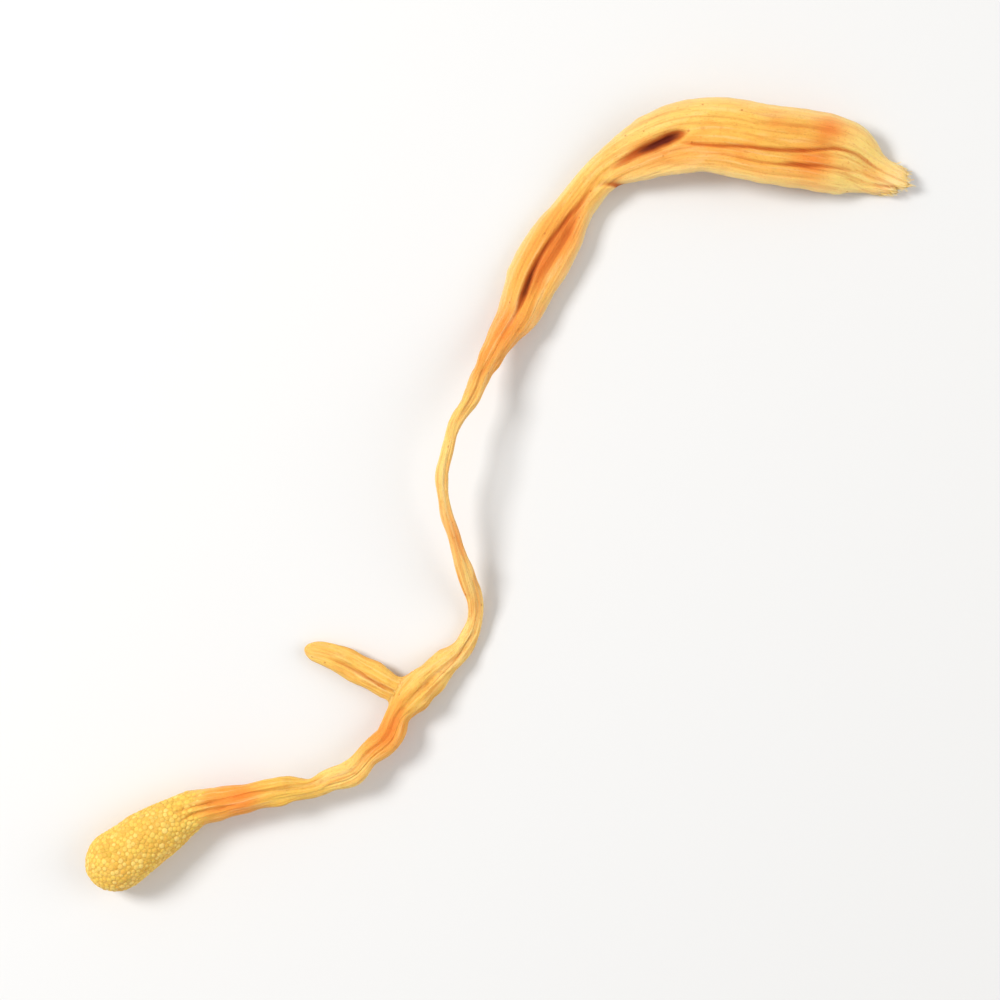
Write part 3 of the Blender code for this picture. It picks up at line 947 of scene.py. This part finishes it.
def grain_flesh():
    """Each head grain is gold, with ochre shade painted where it meets the flesh, and a rust pore
    on top.
    """
    material, tree, shader = flesh("grain_flesh")
    grown = mark(tree, "grown", "Vector")
    colour = mottled(tree, GOLD, grown, GRAIN_PATCHES)
    for tint, name, start, full, strength in GRAIN_TINTS:
        colour = tinted(tree, colour, tint, ranged(tree, mark(tree, name), start, full), strength)
    pores = group(tree, PORES, {"Grown": grown, "Size": (0.12, 0.12, 0.12)})
    wire(tree, shader, {
        "Base Color": tinted(tree, colour, OLIVE, pores["Pores"], 0.5),
        "Roughness": ranged(tree, pores["Height"], 0.3, 0.7, *ROUGHNESS),
        "Normal": bump(tree, pores["Height"], 0.7, 0.07 * MM)})
    return material


def fibre_flesh():
    """Pale cream fibres, drier and paler towards their tips."""
    material, tree, shader = flesh("fibre_flesh", subsurface=0.3, specular=0.25)
    rise = mark(tree, "rise")
    colour = tinted(tree, PALE, CREAM, ranged(tree, rise, 0.1, 0.9))
    wire(tree, shader, {
        "Base Color": mottled(tree, colour, mark(tree, "grown", "Vector"), FIBRE_PATCHES),
        "Roughness": ranged(tree, rise, 0.0, 1.0, *ROUGHNESS)})
    return material


# What repeats over the surface

# The most points on a square metre, before those that are too close are dropped.
MOST_GRAINS, MOST_FIBRES = 9e7, 2e8
# How much grains and fibres vary in size. The last grains of the neck are smaller and drawn out.
GRAIN_SIZES, FIBRE_SIZES = (0.72, 1.2), (0.45, 1.15)
NECK_GRAIN_SIZE, NECK_GRAIN_LENGTH = 0.3, 1.7
# A fibre of length 1, the girth left at its tip, and how far round fibres are spun, in radians.
FIBRE_BEND = {"Start": (0, 0, -0.06), "Middle": (0.0, 0.07, 0.5), "End": (0.07, -0.03, 1.0)}
FIBRE_TIP, FIBRE_SPIN = 0.12, 6.28


def named_mark(tree, name):
    return result(tree, "GeometryNodeInputNamedAttribute", {"Name": name}, data_type="FLOAT")


def height_here(tree):
    place = result(tree, "GeometryNodeInputPosition")
    return put(tree, "ShaderNodeSeparateXYZ", {0: place}).outputs[2]


def drawn_lot(tree, low, high, seed):
    return put(tree, "FunctionNodeRandomValue", {2: low, 3: high, "Seed": seed},
               data_type="FLOAT").outputs[1]


def spread_over(tree, takes, most, where):
    """Points over the surface where the mask is, none closer together than the spacing."""
    return put(tree, "GeometryNodeDistributePointsOnFaces", {
        "Mesh": takes["Geometry"], "Distance Min": takes["Spacing"], "Density Max": most,
        "Density Factor": where, "Seed": takes["Seed"]}, distribute_method="POISSON").outputs


def stored(tree, geometry, name, value, domain):
    return result(tree, "GeometryNodeStoreNamedAttribute", {
        "Geometry": geometry, "Name": name, "Value": value}, data_type="FLOAT", domain=domain)


def stored_rise(tree, geometry, top):
    """Keep how high each point of a small shape is, from 0 at the origin to 1 at its top."""
    rise = ranged(tree, height_here(tree), 0.0, top, how="LINEAR")
    return stored(tree, geometry, "rise", rise, "POINT")


def finish_tree(tree, made, takes, gives):
    made = result(tree, "GeometryNodeRealizeInstances", {0: made})
    made = result(tree, "GeometryNodeSetShadeSmooth", {0: made})
    made = result(tree, "GeometryNodeSetMaterial", {0: made, "Material": takes["Material"]})
    wire(tree, gives, {"Geometry": made})
    return tree


def grains_tree():
    """Small flattened grains set evenly over the part of a surface marked grainy."""
    tree, takes, gives = new_tree("grains_over_the_head", {
        "Geometry": ["Geometry"], "Float": ["Spacing", "Width", "Height", "Sunk"],
        "Vector": ["Drawn Out Towards"], "Int": ["Seed"], "Material": ["Material"]},
        {"Geometry": ["Geometry"]}, "GeometryNodeTree")
    where = named_mark(tree, "grainy")
    spread = spread_over(tree, takes, MOST_GRAINS, ranged(tree, where, 0.03, 0.2))
    ball = result(tree, "GeometryNodeMeshUVSphere", {"Segments": 9, "Rings": 6, "Radius": 0.5})
    grain = result(tree, "GeometryNodeTransform", {
        "Geometry": stored_rise(tree, ball, 0.5),
        "Translation": xyz(tree, 0.0, 0.0, times(tree, takes["Sunk"], -1.0)),
        "Scale": xyz(tree, takes["Width"], takes["Width"], takes["Height"])})
    size = times(tree, drawn_lot(tree, *GRAIN_SIZES, takes["Seed"]),
                 ranged(tree, where, 0.0, 0.8, NECK_GRAIN_SIZE, 1.0))
    longer = times(tree, size, ranged(tree, where, 1.0, 0.2, 1.0, NECK_GRAIN_LENGTH))
    turned = result(tree, "FunctionNodeAlignRotationToVector", {
        "Rotation": spread["Rotation"], "Vector": takes["Drawn Out Towards"]},
        axis="X", pivot_axis="Z")
    made = result(tree, "GeometryNodeInstanceOnPoints", {
        "Points": spread["Points"], "Instance": grain, "Rotation": turned,
        "Scale": xyz(tree, longer, size, size)})
    shade = drawn_lot(tree, 0.0, 1.0, plus(tree, takes["Seed"], 5.0))
    return finish_tree(tree, stored(tree, made, "shade", shade, "INSTANCE"), takes, gives)


def strands_tree():
    """Tapered, bent strands on the part of a surface that a mark names, combed one way."""
    tree, takes, gives = new_tree("strands_on_a_surface", {
        "Geometry": ["Geometry"], "String": ["Where"], "Vector": ["Combed Towards"],
        "Float": ["Clear Height", "Spacing", "Length", "Thickness", "Combing", "Unruliness"],
        "Int": ["Seed"], "Material": ["Material"]}, {"Geometry": ["Geometry"]}, "GeometryNodeTree")
    clear = maths(tree, "GREATER_THAN", height_here(tree), takes["Clear Height"])
    where = times(tree, named_mark(tree, takes["Where"]), clear)
    spread = spread_over(tree, takes, MOST_FIBRES, where)
    line = result(tree, "GeometryNodeCurveQuadraticBezier", {"Resolution": 6, **FIBRE_BEND})
    share = put(tree, "GeometryNodeSplineParameter").outputs["Factor"]
    taper = ranged(tree, share, 1.0, 0.0, FIBRE_TIP, 1.0)
    line = result(tree, "GeometryNodeSetCurveRadius", {"Curve": line, "Radius": taper})
    girth = maths(tree, "DIVIDE", times(tree, takes["Thickness"], 0.5), takes["Length"])
    ring = result(tree, "GeometryNodeCurvePrimitiveCircle", {"Resolution": 5, "Radius": girth})
    strand = result(tree, "GeometryNodeCurveToMesh", {
        "Curve": line, "Profile Curve": ring, "Fill Caps": True})
    loose = result(tree, "FunctionNodeRandomValue", {
        0: (-1, -1, -1), 1: (1, 1, 1), "Seed": takes["Seed"]}, data_type="FLOAT_VECTOR")
    combed = put(tree, "ShaderNodeMix", {
        0: takes["Combing"], 4: spread["Normal"], 5: takes["Combed Towards"]},
        data_type="VECTOR").outputs[1]
    towards = vectors(tree, "ADD", combed, scaled(tree, loose, takes["Unruliness"]))
    turned = result(tree, "FunctionNodeAlignRotationToVector", {"Vector": towards}, axis="Z")
    spin = drawn_lot(tree, 0.0, FIBRE_SPIN, plus(tree, takes["Seed"], 7.0))
    turned = result(tree, "FunctionNodeRotateRotation", {
        0: turned, 1: xyz(tree, 0.0, 0.0, spin)}, rotation_space="LOCAL")
    size = times(tree, drawn_lot(tree, *FIBRE_SIZES, takes["Seed"]), takes["Length"])
    made = result(tree, "GeometryNodeInstanceOnPoints", {
        "Points": spread["Points"], "Instance": stored_rise(tree, strand, 1.0),
        "Rotation": turned, "Scale": size})
    return finish_tree(tree, made, takes, gives)


def settled(host, tree, name, values):
    """Run a tree over a copy of the host, and keep what it makes as a plain mesh object."""
    carrier = placed(name + "_carrier", host.data.copy())
    rule = carrier.modifiers.new("rule", "NODES")
    rule.node_group = tree
    for item in tree.interface.items_tree:
        if item.in_out == "INPUT" and item.name in values:
            rule[item.identifier] = values[item.name]
    mesh = worked_out(carrier)
    bpy.data.objects.remove(carrier)
    mesh.polygons.foreach_set("material_index", [0] * len(mesh.polygons))
    points = points_of(mesh)
    points[:, 2] = np.maximum(points[:, 2], 0.0)
    move_points(mesh, points)
    return dressed(placed(name, mesh), values["Material"])


# The body

# From the head towards the neck, and out of the torn end.
LAY = Matrix.Rotation(LAY_TURN, 3, "Z")
NECK_WAY, BASE_WAY = LAY @ Vector((0.9, 0.43, 0.0)), LAY @ Vector((0.92, -0.39, 0.0))

body = fuse(shell("wrinkled_body", *fruiting_body_skin()), shell("side_shoot", *side_shoot_skin()))
dressed(body, wrinkled_flesh())
grains = settled(body, grains_tree(), "head_grains", {
    "Spacing": 0.25 * MM, "Width": 0.39 * MM, "Height": 0.18 * MM, "Sunk": 0.04 * MM,
    "Drawn Out Towards": NECK_WAY, "Seed": 3, "Material": grain_flesh()})
torn_fibres = settled(body, strands_tree(), "torn_fibres", {
    "Where": "torn", "Clear Height": 0.16 * MM, "Spacing": 0.1 * MM, "Length": 0.4 * MM,
    "Thickness": 0.04 * MM, "Combed Towards": BASE_WAY, "Combing": 0.9, "Unruliness": 0.3,
    "Seed": 5, "Material": fibre_flesh()})

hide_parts("fruiting_body")
for piece in (body, grains, torn_fibres):
    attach(piece, "root")

# Table, light and camera

# The lens and its sensor, how much of the table is in view, and the middle of the view.
CAMERA_LENS, SENSOR_WIDTH, FRAME_WIDTH = 100.0, 36.0, 61.0
MIDDLE = Vector((0.99, -2.31, 1.5)) * MM
# The table's half-width and its top, in metres, and its finish.
TABLE_REACH, TABLE_LEVEL = 1.5, -0.00002
TABLE_FINISH = {"Base Color": (0.8, 0.797, 0.792, 1.0), "Roughness": 0.7}
# Soft lamps: place and side in metres, and watts. Then the light from all round.
LAMPS = {"key": ((-0.1, 0.2, 0.235), 0.1, 0.79), "fill": ((0.25, -0.2, 0.25), 0.3, 0.52)}
ALL_ROUND = {"Color": (1.0, 0.99, 0.97, 1.0), "Strength": 0.51}


def table_top():
    """A plain pale sheet just under the body."""
    mesh = bpy.data.meshes.new("table_top")
    corners = [(x * TABLE_REACH, y * TABLE_REACH, TABLE_LEVEL)
               for x, y in ((-1, -1), (1, -1), (1, 1), (-1, 1))]
    mesh.from_pydata(corners, [], [(0, 1, 2, 3)])
    return dressed(placed("table_top", mesh), new_material("pale_sheet", TABLE_FINISH)[0])


def studio():
    """Plain soft light."""
    world = bpy.data.worlds.new("studio")
    world.use_nodes = True
    wire(world.node_tree, world.node_tree.nodes["Background"].inputs, ALL_ROUND)
    bpy.context.scene.world = world
    for name, (place, side, watts) in LAMPS.items():
        light = bpy.data.lights.new(name, "AREA")
        light.shape, light.size, light.energy = "SQUARE", side, watts
        lamp = placed(name, light)
        lamp.location = place
        lamp.rotation_euler = (MIDDLE - Vector(place)).to_track_quat("-Z", "Y").to_euler()
    bpy.context.scene.view_settings.view_transform = "Standard"


def overhead_camera():
    """Straight down, turned as the photograph is, so that the body runs up to the right."""
    camera = bpy.data.cameras.new("overhead")
    camera.lens, camera.sensor_width = CAMERA_LENS, SENSOR_WIDTH
    camera.clip_start, camera.clip_end = 0.01, 10.0
    holder = placed("overhead", camera)
    holder.location = MIDDLE + Vector((0, 0, FRAME_WIDTH * MM * CAMERA_LENS / SENSOR_WIDTH))
    holder.rotation_euler = (0.0, 0.0, LAY_TURN)
    bpy.context.scene.camera = holder


overhead_camera()
studio()
table_top()
